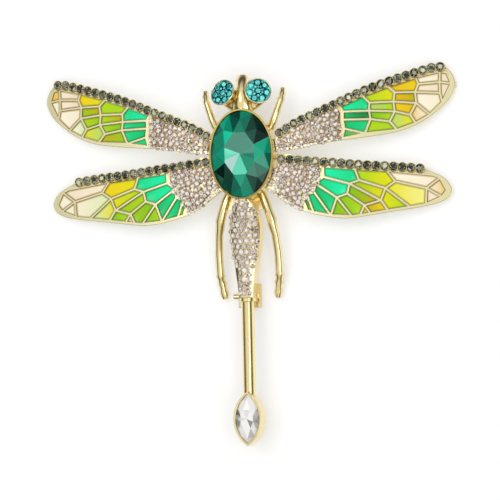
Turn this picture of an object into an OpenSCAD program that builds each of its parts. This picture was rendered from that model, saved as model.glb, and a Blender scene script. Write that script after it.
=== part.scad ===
// Dragonfly brooch, lying on its back: front up, head towards +Y, wings along X.
// The rest of the source measures Y from the middle of the oval stone and Z from the floor.

/* [Wings] */
// Reach of an upper wing, from the middle line to its tip
upper_reach = 33.9; // [31.5:0.1:36]
// Rise of an upper wing, from the middle of the oval stone to its top edge
upper_rise = 13.4; // [12.6:0.1:14.6]
// Reach of a lower wing, from the middle line to its tip
lower_reach = 33; // [31:0.1:33.6]
// Fall of a lower wing, from the middle of the oval stone to its bottom edge
lower_fall = 10.7; // [10:0.1:11.6]
// Radius of the arch that the four wings follow
arch_r = 165; // [150:1:220]
// Thickness of a wing frame
wing_t = 1.1; // [0.9:0.05:1.4]
// Width of a vein between two cells
vein_w = 0.4; // [0.35:0.05:0.6]
// Width of the plain rim round a wing
rim_w = 0.5; // [0.45:0.05:0.8]
// Rise of the jewelled root bed above the face of a wing
bed_rise = 0.25; // [0.15:0.05:0.4]
// Diameter of the rivets that hold a wing's root
rivet_d = 0.8; // [0.6:0.05:1]

/* [Enamel] */
// Thickness of an enamel panel
enamel_t = 0.7; // [0.5:0.05:0.8]
// Depth of the enamel below the face of the wing
enamel_recess = 0.12; // [0.05:0.01:0.2]
// Gap between a panel and its cell
enamel_gap = 0.04; // [0.02:0.01:0.08]

/* [Edge stones] */
// Diameter of a stone in the row along a wing's leading edge
edge_stone_d = 1.2; // [1.1:0.05:1.25]
// Gap between neighbouring edge stones
edge_stone_gap = 0.18; // [0.16:0.01:0.4]
// Wall of the cup round an edge stone
cup_wall = 0.14; // [0.1:0.01:0.2]
// Rise of the cups above the face of the wing
cup_rise = 0.45; // [0.3:0.05:0.6]

/* [Oval stone] */
// Width of the oval stone
oval_w = 10; // [9.4:0.1:10.4]
// Length of the oval stone
oval_l = 14; // [13.4:0.1:14.2]
// Height of the oval stone above its girdle
oval_crown = 1.6; // [1.2:0.1:2]
// Depth of the oval stone below its girdle
oval_pavilion = 2.7; // [2.3:0.1:2.8]
// Height of the girdle of the oval stone above the floor
oval_girdle_z = 6; // [5.9:0.1:6.6]
// Wall of the bezel round a large stone
bezel_wall = 0.25; // [0.2:0.05:0.5]
// Height of the bezel lip above the girdle
bezel_lip = 0.35; // [0.3:0.05:0.5]
// Thickness of the back plate
back_t = 0.5; // [0.4:0.05:0.6]

/* [Navette stone] */
// Width of the navette stone
navette_w = 4; // [3.6:0.1:4.4]
// Length of the navette stone
navette_l = 8; // [7.4:0.1:8.6]
// Height of the navette stone above its girdle
navette_crown = 0.9; // [0.6:0.1:1.2]
// Depth of the navette stone below its girdle
navette_pavilion = 1.7; // [1.3:0.1:2]
// Height of the girdle of the navette stone above the floor
navette_girdle_z = 5.3; // [5:0.1:6]
// Distance of the navette stone below the oval stone, middle to middle
navette_drop = 42.2; // [40:0.1:45]

/* [Head] */
// Distance from the middle line to the middle of an eye
eye_x = 2.9; // [2.75:0.05:3.2]
// Distance of the eyes above the middle of the oval stone
eye_y = 10; // [9.8:0.1:10.4]
// Height of the middle of an eye above the floor
eye_z = 5.9; // [5.5:0.1:6.4]
// Outward lean of an eye in degrees
eye_lean = 19; // [12:1:24]
// Forward lean of an eye in degrees
eye_nod = 16; // [10:1:20]
// Diameter of an eye stone
eye_stone_d = 1.1; // [0.95:0.05:1.15]
// Number of stones round the middle one
eye_ring = 7; // [6:1:7]
// Depth of an eye cup
eye_cup_depth = 3.1; // [2.6:0.1:3.4]
// Distance of the nose above the middle of the oval stone
nose_y = 12.8; // [12.4:0.1:13.3]
// Width of the head between the eyes
head_w = 3.3; // [2.8:0.1:3.8]
// Thickness of the head
head_t = 2.6; // [2:0.1:3]

/* [Legs] */
// Width of a leg
leg_w = 1.3; // [1:0.05:1.5]
// Distance from the middle line to the tip of a front leg
front_foot_x = 6.4; // [6.2:0.1:7]
// Distance of the front feet above the middle of the oval stone
front_foot_y = 10.6; // [10:0.1:11.5]
// Distance from the middle line to a hind knee
hind_knee_x = 4.4; // [4.2:0.1:5]
// Distance of the hind knees below the middle of the oval stone
hind_knee_y = 11; // [10:0.1:12]
// Distance from the middle line to a hind foot
hind_foot_x = 4.4; // [4.2:0.1:5]
// Distance of the hind feet below the middle of the oval stone
hind_foot_y = 22.8; // [21:0.1:24]

/* [Abdomen and tail] */
// Half width of the abdomen at its widest
abdomen_half_w = 2.45; // [2.35:0.05:2.6]
// Radius of the rounded top of the abdomen
abdomen_r = 3; // [2.8:0.1:4]
// Height of the abdomen above the floor where it leaves the thorax
abdomen_top = 6.5; // [6:0.1:6.8]
// Downward slope of the abdomen towards the tail in degrees
abdomen_dip = 5; // [2:0.5:6]
// Diameter of an abdomen stone, as a share of the distance to the next
abdomen_stone_share = 0.86; // [0.76:0.02:0.88]
// Margin beside the widest row of abdomen stones, as a share of the distance between two
abdomen_margin = 0.9; // [0.85:0.05:1.1]
// Diameter of the single stones at the narrow end of the abdomen
last_stone_d = 1.2; // [0.9:0.05:1.25]
// Gap between the single stones
last_stone_gap = 0.2; // [0.16:0.01:0.26]
// Distance of the abdomen's end below the middle of the oval stone
abdomen_end = 22.9; // [22.6:0.1:24]
// Diameter of the tail rod
rod_d = 2.1; // [1.7:0.1:2.4]

/* [Brooch pin] */
// Diameter of the pin stem
pin_d = 0.9; // [0.7:0.05:1]
// Distance of the hinge above the middle of the oval stone
hinge_y = 4.5; // [3.5:0.1:5.5]
// Width of the hinge block
hinge_w = 3.2; // [2.4:0.1:4]
// Length of the hinge block along the pin
hinge_l = 2.6; // [2:0.1:3.4]
// Distance of the catch below the middle of the oval stone
catch_y = 22.5; // [21.5:0.1:23]
// Width of the catch
catch_w = 3.8; // [3.4:0.1:4]
// Length of the catch along the pin
catch_l = 3.8; // [3:0.1:4.2]
// Reach of the catch lever to the left of the middle line
lever_reach = 3.1; // [2.6:0.1:3.4]
// Diameter of the catch lever
lever_d = 0.9; // [0.7:0.05:1]
// Height of the underside of the metal body above the floor
back_z = 2.3; // [2:0.1:2.4]

/* [Hidden] */
// Running gap between a stone and its seat
seat_gap = 0.03;
// Gap between a wing's root and the body
root_gap = 0.05;
// Height of the pin and catch above the floor
pin_clear = 0.08;
// Rise of the pin stem above the underside of its hinge
pin_lift = 0.2;
// Overlap where one form of the body is soldered into the next
solder = 0.3;
// Lift that keeps a cut past the face that it opens
past = 1;
// How far the lip of a setting reaches over its stone
lip_hold = 0.05;
// How far the ledge of a setting reaches under its stone, and its drop below the girdle
ledge_hold = 0.12;
ledge_drop = 0.25;
// Metal left between two eye stones
eye_stone_gap = 0.12;

// Height of the top of the wings at the middle line: the lowest corner of the tips is on the floor
wing_top = arch_r - sqrt(pow(arch_r - wing_t, 2) - pow(upper_reach, 2));
cup_d = edge_stone_d + 2 * seat_gap + 2 * cup_wall;
// Girdle height of an edge stone below the lip of its cup
edge_sink = 0.12;
edge_pitch = edge_stone_d + edge_stone_gap;
// Half axes of the outside of the oval bezel
bezel_a = oval_w / 2 + seat_gap + bezel_wall;
bezel_b = oval_l / 2 + seat_gap + bezel_wall;
// Line of the stone row of an upper wing, shares of its reach and rise
// along, across
upper_row = [
    [0.177, 0.246], [0.254, 0.357], [0.325, 0.434], [0.401, 0.515],
    [0.475, 0.596], [0.59, 0.718], [0.723, 0.83], [0.894, 0.955], [0.936, 0.965]
];
upper_row_end = upper_row[len(upper_row) - 1];
// Line that carries the row on round the tip
upper_crest = [[0.965, 0.945], [0.985, 0.9]];
// Back edge and tip of an upper wing from the root to the last stone, shares of its reach and rise
upper_edge = [
    [0.1, -0.005], [0.155, 0.02], [0.245, 0.045], [0.34, 0.085], [0.435, 0.12], [0.52, 0.14],
    [0.62, 0.168], [0.71, 0.2], [0.765, 0.235], [0.82, 0.29], [0.87, 0.36], [0.92, 0.455],
    [0.96, 0.55], [0.985, 0.645], [1, 0.765], [0.985, 0.89], [0.95, 0.975], [0.91, 0.995]
];
// How many points of the edge belong to the back, before it turns forward at the tip
upper_back_count = 15;
// Vein junctions of an upper wing: along is a share of the reach,
// across a share of the way from the back rim to the stone row
upper_veins = [
    ["a1", 0.464, 1], ["a2", 0.479, 0.8], ["a3", 0.477, 0.56], ["a4", 0.484, 0.28], ["a5", 0.472, 0],
    ["b1", 0.572, 1], ["b2", 0.603, 0.77], ["b3", 0.601, 0.58], ["b4", 0.607, 0.37], ["b5", 0.58, 0.05],
    ["c1", 0.69, 1], ["c2", 0.721, 0.82], ["c3", 0.715, 0.63], ["c4", 0.72, 0.41], ["c5", 0.695, 0.22],
    ["c6", 0.728, 0], ["d1", 0.82, 1], ["d2", 0.832, 0.83], ["d3", 0.816, 0.68], ["d4", 0.82, 0.43],
    ["d5", 0.791, 0.23], ["d6", 0.816, 0], ["e1", 0.932, 1], ["e2", 0.93, 0.69], ["e3", 0.93, 0.38],
    ["e4", 0.94, 0.06], ["e5", 0.882, 0], ["f1", 0.965, 1], ["f2", 0.983, 0.55]
];
// Cells of an upper wing: colour, corners
upper_cells = [
    ["teal", ["a1", "a2", "b3", "b2", "b1"]],
    ["teal", ["a2", "a3", "b4", "b3"]],
    ["teal", ["a3", "a4", "b5", "b4"]],
    ["teal", ["a4", "a5", "b5"]],
    ["green", ["b1", "b2", "c3", "c2", "c1"]],
    ["green", ["b2", "b3", "c4", "c3"]],
    ["green", ["b3", "b4", "c5", "c4"]],
    ["green", ["b4", "b5", "c6", "c5"]],
    ["yellow", ["c1", "c2", "d3", "d2", "d1"]],
    ["yellow", ["c2", "c3", "d4", "d3"]],
    ["yellow", ["c3", "c4", "d5", "d4"]],
    ["yellow", ["c4", "c5", "c6", "d6", "d5"]],
    ["clear", ["d1", "d2", "e2", "e1"]],
    ["clear", ["d2", "d3", "e3", "e2"]],
    ["clear", ["d3", "d4", "e5", "e4", "e3"]],
    ["clear", ["d4", "d5", "d6", "e5"]],
    ["clear", ["e2", "e3", "e4", "f2"]],
    ["clear", ["e1", "e2", "f2", "f1"]]
];

// Middle of the whole length: from the last cup of the upper wings to the end of the navette bezel
length_top = upper_rise * upper_row_end[1] + cup_d / 2;
length_bottom = -navette_drop - navette_l / 2 - seat_gap - bezel_wall;
middle_y = (length_top + length_bottom) / 2;

// Line of the stone row of a lower wing, shares of its reach and fall
// along, across
lower_row = [
    [0.189, 0.09], [0.267, 0.111], [0.352, 0.142], [0.442, 0.168],
    [0.521, 0.197], [0.609, 0.224], [0.688, 0.243], [0.77, 0.265], [0.862, 0.296]
];
// Line that carries the row on round the tip
lower_crest = [[0.92, 0.335], [0.96, 0.4], [0.985, 0.5]];
// Back edge and tip of a lower wing from the root to the last stone, shares of its reach and fall
lower_edge = [
    [0.1, 0.5], [0.13, 0.57], [0.176, 0.67], [0.224, 0.78], [0.274, 0.855], [0.327, 0.912],
    [0.388, 0.958], [0.46, 0.995], [0.524, 1], [0.612, 0.967], [0.694, 0.93], [0.8, 0.888],
    [0.888, 0.845], [0.948, 0.795], [0.985, 0.725], [1, 0.615], [0.985, 0.505], [0.955, 0.415],
    [0.905, 0.34]
];
// How many points of the edge belong to the back, before it turns forward at the tip
lower_back_count = 16;
// Vein junctions of a lower wing, shares as in the upper wing
lower_veins = [
    ["a1", 0.39, 1], ["a2", 0.391, 0.78], ["a3", 0.349, 0.63], ["a4", 0.344, 0.43], ["a5", 0.308, 0.36],
    ["a6", 0.292, 0.2], ["a7", 0.31, 0], ["b1", 0.542, 1], ["b2", 0.562, 0.76], ["b3", 0.515, 0.68],
    ["b4", 0.504, 0.47], ["b5", 0.453, 0.38], ["b6", 0.422, 0], ["b7", 0.338, 0], ["c1", 0.523, 0],
    ["c2", 0.585, 0.2], ["c3", 0.563, 0], ["c4", 0.612, 0], ["d1", 0.695, 1], ["d2", 0.734, 0.73],
    ["d3", 0.687, 0.56], ["d4", 0.664, 0.27], ["d5", 0.696, 0], ["d6", 0.802, 0], ["e1", 0.882, 0.52],
    ["e2", 0.877, 0], ["e3", 0.953, 0.12], ["e4", 0.978, 0.5], ["e5", 0.947, 1], ["e6", 0.914, 1]
];
// Cells of a lower wing: colour, corners
lower_cells = [
    ["teal", ["a1", "a2", "b3", "b2", "b1"]],
    ["teal", ["a2", "a3", "b5", "b4", "b3"]],
    ["teal", ["a3", "a4", "b6", "b5"]],
    ["teal", ["a4", "a5", "b7", "b6"]],
    ["teal", ["a5", "a6", "a7", "b7"]],
    ["green", ["b3", "b4", "c2", "d4"]],
    ["green", ["b4", "b5", "c1", "c3", "c2"]],
    ["green", ["b5", "b6", "c1"]],
    ["green", ["c2", "c3", "c4"]],
    ["green", ["d4", "c2", "c4", "d5"]],
    ["yellow", ["b1", "b2", "d3", "d2", "d1"]],
    ["yellow", ["b2", "b3", "d4", "d3"]],
    ["yellow", ["d3", "d4", "d5", "d6"]],
    ["clear", ["d1", "d2", "e1", "e5", "e6"]],
    ["clear", ["d2", "d3", "d6", "e2", "e1"]],
    ["clear", ["e1", "e2", "e3"]],
    ["clear", ["e1", "e3", "e4", "e5"]]
];

// Root bed of an upper wing, corners as vein shares, from the root round to the first cells
upper_bed = [
    ["root", 0.17, 0.12], ["root", 0.165, 0.9], ["row", 0.26, 0.99], ["row", 0.36, 1], ["row", 0.447, 1],
    ["cell", 0.464, 0.8], ["cell", 0.462, 0.56], ["cell", 0.468, 0.28], ["cell", 0.455, 0.03],
    ["rim", 0.35, 0.03], ["rim", 0.26, 0.05]
];
lower_bed = [
    ["root", 0.175, 0.12], ["root", 0.16, 0.5], ["root", 0.165, 0.97], ["row", 0.27, 1], ["row", 0.372, 1],
    ["cell", 0.374, 0.8], ["cell", 0.333, 0.66], ["cell", 0.328, 0.45], ["cell", 0.292, 0.38],
    ["cell", 0.276, 0.2], ["cell", 0.29, 0.03], ["rim", 0.25, 0.04], ["rim", 0.21, 0.06]
];

// Half width of the abdomen: share of the way along it, share of the widest half width
// along, half width
abdomen_rows = [
    [0, 0.34], [0.06, 0.6], [0.15, 0.86], [0.25, 0.98], [0.33, 1], [0.45, 0.93],
    [0.6, 0.78], [0.75, 0.64], [0.88, 0.53], [1, 0.49]
];
// Stones across each interlocking row of the abdomen, from the thorax to the tail
abdomen_counts = [1, 2, 3, 4, 5, 4, 5, 4, 3, 4, 3, 2];
// Single larger stones that end the abdomen
last_stones = 3;
abdomen_pitch = 2 * abdomen_half_w / (max(abdomen_counts) - 1 + abdomen_margin);
abdomen_stone_d = abdomen_pitch * abdomen_stone_share;
last_pitch = last_stone_d + last_stone_gap;

// Sections of the head from the neck to the nose: along is a share of the way,
// width a share of head_w, thickness a share of head_t, lift a share of head_t
// along, width, thickness, lift
head_rows = [
    [0, 0.95, 0.85, 0], [0.18, 1.02, 1, 0.02], [0.32, 0.8, 1, 0.04], [0.5, 0.62, 0.96, 0.03],
    [0.72, 0.6, 0.8, -0.04], [0.88, 0.68, 0.62, -0.12], [1, 0.5, 0.4, -0.2]
];

// Sections of the cheeks that carry the eyes, from the neck forwards: ahead is a share of eye_y,
// width and thickness are shares of head_w
// ahead, width, thickness
cheek_rows = [
    [0.71, 1.15, 0.42], [0.76, 1.6, 0.5], [0.82, 2.05, 0.54], [0.88, 2.3, 0.54], [0.96, 2.2, 0.5],
    [1.04, 1.7, 0.4]
];
// Underside of the thorax between the abdomen and the hind legs: out is a share of hind_knee_x,
// down a share of hind_knee_y
// out, down
thorax_web = [[-0.1, 0.5], [0.62, 0.5], [0.74, 0.66], [0.82, 0.79], [0.62, 0.8], [0.36, 0.83], [-0.1, 0.83]];

// Sections of a front leg from the thorax to the foot: out is a share of front_foot_x,
// up a share of front_foot_y, height above the floor a share of wing_top, width a share of leg_w
// out, up, height, width
front_leg_rows = [
    [0.68, 0.385, 0.84, 0.85], [0.735, 0.45, 0.88, 0.95], [0.8, 0.54, 0.9, 0.92], [0.88, 0.68, 0.88, 0.85],
    [0.95, 0.8, 0.83, 0.8], [0.965, 0.835, 0.81, 0.95], [0.975, 0.865, 0.8, 0.72], [0.99, 0.91, 0.77, 0.92],
    [0.995, 0.945, 0.75, 0.7], [1, 1, 0.72, 0.66]
];
// Sections of a hind leg from the thorax to the knee: out is a share of hind_knee_x,
// down a share of hind_knee_y, height a share of wing_top, width a share of leg_w
// out, down, height, width
hind_thigh_rows = [
    [0.62, 0.56, 0.82, 1], [0.72, 0.66, 0.86, 1.1], [0.86, 0.82, 0.86, 1.1], [0.96, 0.95, 0.82, 1.2],
    [1, 1.06, 0.76, 1.12]
];
// Sections from the knee to the foot: out is a share of the way from hind_foot_x to the widest
// stretch of the shin, down a share of the way from the knee to the foot
// out, down, height, width
hind_shin_rows = [
    [0.5, 0.15, 0.68, 1], [1, 0.4, 0.53, 1], [1, 0.66, 0.4, 1], [0.95, 0.7, 0.37, 1.2],
    [0.9, 0.735, 0.35, 0.9], [0.6, 0.8, 0.31, 1.12], [0.4, 0.855, 0.28, 0.85], [0.2, 0.92, 0.24, 1.1],
    [0, 1, 0.2, 0.8]
];
// How far the shin swings out past the foot
shin_swing = 0.5;

// Point of a smooth curve through four neighbours
function curve_point(a, b, c, d, t) =
    (2 * b + (c - a) * t + (2 * a - 5 * b + 4 * c - d) * t * t + (3 * b - a - 3 * c + d) * t * t * t) / 2;

// Smooth open curve through a list of points, with a few steps between each two
function smooth(p, steps) = [
    for (i = [0 : len(p) - 2], k = [0 : steps - 1])
        curve_point(p[max(i - 1, 0)], p[i], p[i + 1], p[min(i + 2, len(p) - 1)], k / steps),
    p[len(p) - 1]
];

function scaled(p, along, across) = [for (q = p) [q[0] * along, q[1] * across]];
function first(p, n) = [for (i = [0 : n - 1]) p[i]];
function reversed(p) = [for (i = [len(p) - 1 : -1 : 0]) p[i]];
function unit(v) = v / norm(v);

// Lengths along a line from its start to each of its points
function run_lengths(p, i = 0, total = 0) =
    i >= len(p) - 1 ? [total] : concat([total], run_lengths(p, i + 1, total + norm(p[i + 1] - p[i])));

// Points a pitch apart along a line
function spaced(p, pitch) =
    let (runs = run_lengths(p), count = floor(runs[len(runs) - 1] / pitch + 0.01))
    [for (i = [0 : count]) [
        lookup(i * pitch, [for (k = [0 : len(p) - 1]) [runs[k], p[k][0]]]),
        lookup(i * pitch, [for (k = [0 : len(p) - 1]) [runs[k], p[k][1]]])
    ]];

// A wing as lists in millimetres. up is 1 for an upper wing and -1 for a lower one
function wing(up) = let (
    reach = up > 0 ? upper_reach : lower_reach,
    depth = up > 0 ? upper_rise : -lower_fall,
    row = up > 0 ? upper_row : lower_row,
    crest = up > 0 ? upper_crest : lower_crest,
    edge = up > 0 ? upper_edge : lower_edge,
    back = first(edge, up > 0 ? upper_back_count : lower_back_count)
) [
    smooth(scaled(row, reach, depth), 4),
    smooth(scaled(concat(row, crest), reach, depth), 4),
    smooth(scaled(edge, reach, depth), 3),
    smooth(scaled(back, reach, depth), 3),
    reach
];
function row_line(w) = w[0];
function crest_line(w) = w[1];
function edge_line(w) = w[2];
function back_line(w) = w[3];
function reach_of(w) = w[4];

// Height of a line at a distance from the middle line
function at(line, x) = lookup(x, line);

// A vein share pair as a point of the wing
function vein_point(w, along, across) = let (
    x = along * reach_of(w),
    back = at(back_line(w), x) + rim_w - vein_w / 2,
    front = at(crest_line(w), x) - cup_d / 2 - rim_w / 4 + vein_w / 2
) [x, back + across * (front - back)];
function named(table, name) = table[search([name], table)[0]];
function corners(w, table, names) =
    [for (n = names) let (v = named(table, n)) vein_point(w, v[1], v[2])];

function doubled_area(p) = let (n = len(p))
    [for (i = [0 : n - 1]) cross(p[i], p[(i + 1) % n])] * [for (i = [0 : n - 1]) 1];
function turned_left(p) = doubled_area(p) < 0 ? reversed(p) : p;

// A polygon with every side moved inwards
function inset(poly, by) = let (p = turned_left(poly), n = len(p)) [
    for (i = [0 : n - 1]) let (
        before = unit(p[i] - p[(i + n - 1) % n]),
        after = unit(p[(i + 1) % n] - p[i]),
        before_in = [-before[1], before[0]],
        after_in = [-after[1], after[0]]
    ) p[i] + (before_in + after_in) * by / (1 + before_in * after_in)
];

function ellipse_points(a, b, n = 64) = [for (i = [0 : n - 1]) [a * cos(i * 360 / n), b * sin(i * 360 / n)]];

// Corners of a cut stone of unit radius: table, girdle and point. A stone is placed by the middle
// of its girdle and the direction that its table faces
stone_sides = 8;
table_share = 0.55;
crown_share = 0.34;
point_share = 0.8;
function stone_points(centre, facing, r) = let (
    side = unit(cross([0, 1, 0], facing)),
    ahead = cross(facing, side)
) concat(
    [for (i = [0 : stone_sides - 1]) let (a = (i + 0.5) * 360 / stone_sides)
        centre + (side * cos(a) + ahead * sin(a)) * r * table_share + facing * r * crown_share],
    [for (i = [0 : stone_sides - 1]) let (a = (i + 0.5) * 360 / stone_sides)
        centre + (side * cos(a) + ahead * sin(a)) * r],
    [centre - facing * r * point_share]
);
function stone_faces(from) = let (n = stone_sides) concat(
    [[for (i = [n - 1 : -1 : 0]) from + i]],
    [for (i = [0 : n - 1]) let (j = (i + 1) % n) [from + i, from + j, from + n + j, from + n + i]],
    [for (i = [0 : n - 1]) let (j = (i + 1) % n) [from + n + i, from + n + j, from + 2 * n]]
);
// Every stone of a field: a list of centre and facing pairs
module stone_field(seats, r) {
    count = 2 * stone_sides + 1;
    polyhedron(
        points = [for (s = seats) each stone_points(s[0], s[1], r)],
        faces = [for (i = [0 : len(seats) - 1]) each stone_faces(i * count)]
    );
}

// Seat of a stone on the arch of a wing, at a height above its face
function arch_lean(x) = asin(x / arch_r);
function arch_facing(x) = [x / arch_r, 0, cos(arch_lean(x))];
function arch_point(p, rise) = [p[0], p[1], wing_top - arch_r + sqrt(pow(arch_r + rise, 2) - pow(p[0], 2))];
// Layer of the arch between two heights measured from the face of the wings
module arch_layer(low, high) {
    length = 2 * (upper_rise + lower_fall);
    translate([0, 0, wing_top - arch_r])
        rotate([90, 0, 0])
            difference() {
                cylinder(r = arch_r + high, h = length, center = true, $fn = 720);
                cylinder(r = arch_r + low, h = length + past, center = true, $fn = 720);
            }
}
module in_layer(low, high) {
    intersection() {
        linear_extrude(height = wing_top + past) children();
        arch_layer(low, high);
    }
}

function edge_seats(w) = spaced(row_line(w), edge_pitch);

// Places of the two rivets in the root of a wing
function rivets(w) = [vein_point(w, 0.215, 0.5), vein_point(w, 0.265, 0.5)];

module wing_outline(w) {
    difference() {
        polygon(concat(edge_line(w), reversed([for (p = row_line(w)) p + [0, cup_wall]])));
        polygon(ellipse_points(bezel_a + root_gap, bezel_b + root_gap));
    }
}
module cells(w, veins, table, by, tint = "all") {
    for (c = table)
        if (tint == "all" || c[0] == tint)
            polygon(inset(corners(w, veins, c[1]), vein_w / 2 + by));
}
module cups(seats, d) {
    for (s = seats)
        translate(s)
            circle(d = d, $fn = 32);
}
module wing_frame(w, veins, table, bed) {
    seats = edge_seats(w);
    color("#e8d38a") difference() {
        union() {
            in_layer(-wing_t, 0) difference() {
                wing_outline(w);
                cells(w, veins, table, 0);
            }
            in_layer(-wing_t / 2, bed_rise) difference() {
                polygon([for (b = bed) vein_point(w, b[1], b[2])]);
                polygon(ellipse_points(bezel_a + root_gap, bezel_b + root_gap));
            }
            in_layer(-wing_t + cup_wall, cup_rise) cups(seats, cup_d);
        }
        in_layer(cup_rise - edge_sink - edge_stone_d / 2, cup_rise + past)
            cups(seats, edge_stone_d + 2 * seat_gap);
        for (p = rivets(w))
            translate([p[0], p[1], 0])
                cylinder(d = rivet_d + 2 * root_gap, h = wing_top + past, $fn = 32);
    }
}
module wing_edge_stones(w) {
    color("#55524c")
        stone_field(
            [for (s = edge_seats(w)) [arch_point(s, cup_rise - edge_sink), arch_facing(s[0])]],
            edge_stone_d / 2
        );
}
module wing_enamel(w, veins, table, tint, shade) {
    color(shade, 0.8)
        in_layer(-enamel_recess - enamel_t, -enamel_recess)
            cells(w, veins, table, enamel_gap, tint);
}
module placed() {
    translate([0, -middle_y, 0]) children();
}
module on_left() {
    placed() mirror([1, 0, 0]) children();
}
module on_right() {
    placed() children();
}

// Large cut stone: outline is a function of the angle given as a list of girdle points.
// Rings from the table to the keel: share of the girdle, share of the crown or the pavilion
big_sides = 16;
big_table = 0.52;
big_star = 0.78;
big_keel = 0.3;
function big_ring(outline, share, z, odd) = [
    for (i = [0 : big_sides / 2 - 1]) let (p = outline[(2 * i + (odd ? 1 : 0)) % big_sides])
        [p[0] * share, p[1] * share, z]
];
function star_height(share) = (1 - share * cos(360 / big_sides)) / (1 - big_table);
module big_stone(outline, crown, pavilion, girdle) {
    half = big_sides / 2;
    rings = [
        big_ring(outline, big_table, crown, true),
        big_ring(outline, big_star, crown * star_height(big_star), false),
        [for (p = outline) [p[0], p[1], girdle / 2]],
        [for (p = outline) [p[0], p[1], -girdle / 2]],
        big_ring(outline, big_keel, -pavilion * (1 - big_keel * 0.92), false),
        [[0, 0, -pavilion]]
    ];
    from = [0, half, 2 * half, 4 * half, 6 * half, 7 * half];
    polyhedron(
        points = [for (r = rings) each r],
        faces = concat(
            [[for (i = [half - 1 : -1 : 0]) i]],
            [for (i = [0 : half - 1]) let (j = (i + 1) % half) [i, j, from[1] + j]],
            [for (i = [0 : half - 1]) let (j = (i + 1) % half)
                each [[from[1] + i, i, from[2] + 2 * i + 1], [i, from[1] + j, from[2] + 2 * i + 1]]],
            [for (i = [0 : half - 1]) let (g = from[2] + 2 * i, b = from[2] + (2 * i + big_sides - 1) % big_sides)
                each [[from[1] + i, from[2] + 2 * i + 1, g], [from[1] + i, g, b]]],
            [for (i = [0 : big_sides - 1]) let (j = (i + 1) % big_sides)
                [from[2] + i, from[2] + j, from[3] + j, from[3] + i]],
            [for (i = [0 : half - 1]) let (g = from[3] + 2 * i, b = from[3] + (2 * i + big_sides - 1) % big_sides)
                each [[from[4] + i, g, from[3] + 2 * i + 1], [from[4] + i, b, g]]],
            [for (i = [0 : half - 1]) let (j = (i + 1) % half)
                each [[from[4] + i, from[3] + 2 * i + 1, from[5]], [from[3] + 2 * i + 1, from[4] + j, from[5]]]]
        )
    );
}
girdle_t = 0.3;
oval_outline = ellipse_points(oval_w / 2, oval_l / 2, big_sides);

// Radius of the two arcs of a navette, from its half length and half width
function navette_r(l, w) = (pow(l / 2, 2) + pow(w / 2, 2)) / w;
// Point of a navette in a direction from its middle
function navette_point(l, w, a) = let (
    r = navette_r(l, w),
    d = r - w / 2,
    c = abs(cos(a)),
    reach = -d * c + sqrt(d * d * c * c + r * r - d * d)
) [reach * cos(a), reach * sin(a)];
navette_outline = [for (i = [0 : big_sides - 1]) navette_point(navette_l, navette_w, i * 360 / big_sides)];

module navette_shape(grow) {
    r = navette_r(navette_l, navette_w);
    shift = r - navette_w / 2;
    intersection() {
        translate([shift, 0]) circle(r = r + grow, $fn = 160);
        translate([-shift, 0]) circle(r = r + grow, $fn = 160);
    }
}
module oval_shape(grow) {
    polygon(ellipse_points(oval_w / 2 + grow, oval_l / 2 + grow));
}

// Straight layer of an outline between two heights
module layer(low, high) {
    translate([0, 0, low])
        linear_extrude(height = high - low)
            children();
}

// Tube through sections, each a place, a width and a height
module loft(rows, sides) {
    n = len(rows);
    rings = [for (i = [0 : n - 1]) let (
        ahead = unit(rows[min(i + 1, n - 1)][0] - rows[max(i - 1, 0)][0]),
        side = unit(cross(ahead, [0, 0, 1])),
        up = cross(side, ahead)
    ) [for (k = [0 : sides - 1]) let (a = (k + 0.5) * 360 / sides)
        rows[i][0] + side * cos(a) * rows[i][1] / 2 + up * sin(a) * rows[i][2] / 2]];
    polyhedron(
        points = [for (r = rings) each r],
        faces = concat(
            [[for (k = [sides - 1 : -1 : 0]) k]],
            [for (i = [0 : n - 2], k = [0 : sides - 1]) let (j = (k + 1) % sides)
                each [
                    [i * sides + k, (i + 1) * sides + j, (i + 1) * sides + k],
                    [i * sides + k, i * sides + j, (i + 1) * sides + j]
                ]],
            [[for (k = [0 : sides - 1]) (n - 1) * sides + k]]
        )
    );
}

// Eye: a cup that leans outwards and forwards, with one stone in the middle of a ring
eye_pitch = eye_stone_d + eye_stone_gap;
eye_ring_r = eye_pitch / (2 * sin(180 / eye_ring));
eye_rim_d = 2 * eye_ring_r + eye_stone_d + 2 * seat_gap + 2 * cup_wall;
eye_seats = concat([[0, 0]], [for (i = [0 : eye_ring - 1])
    [eye_ring_r * sin(i * 360 / eye_ring), eye_ring_r * cos(i * 360 / eye_ring)]]);
module eye_place() {
    translate([eye_x, eye_y, eye_z]) rotate([-eye_nod, eye_lean, 0]) children();
}
module eye_stones() {
    color("#1fa7b4")
        eye_place()
            stone_field([for (s = eye_seats) [[s[0], s[1], 0], [0, 0, 1]]], eye_stone_d / 2);
}
module eye_cup() {
    base_d = eye_rim_d * 0.5;
    eye_place() difference() {
        translate([0, 0, edge_sink - eye_cup_depth])
            cylinder(d1 = base_d, d2 = eye_rim_d, h = eye_cup_depth, $fn = 48);
        for (s = eye_seats)
            translate([s[0], s[1], -eye_stone_d / 2])
                cylinder(d = eye_stone_d + 2 * seat_gap, h = eye_stone_d, $fn = 32);
    }
}

// Abdomen: an outline cut by a long round top
abdomen_start = bezel_b - solder;
abdomen_length = abdomen_end - abdomen_start;
function abdomen_half(y) = lookup((-y - abdomen_start) / abdomen_length, abdomen_rows) * abdomen_half_w;
abdomen_line = smooth(
    [for (r = abdomen_rows) [r[1] * abdomen_half_w, -abdomen_start - r[0] * abdomen_length]], 3
);
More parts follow.
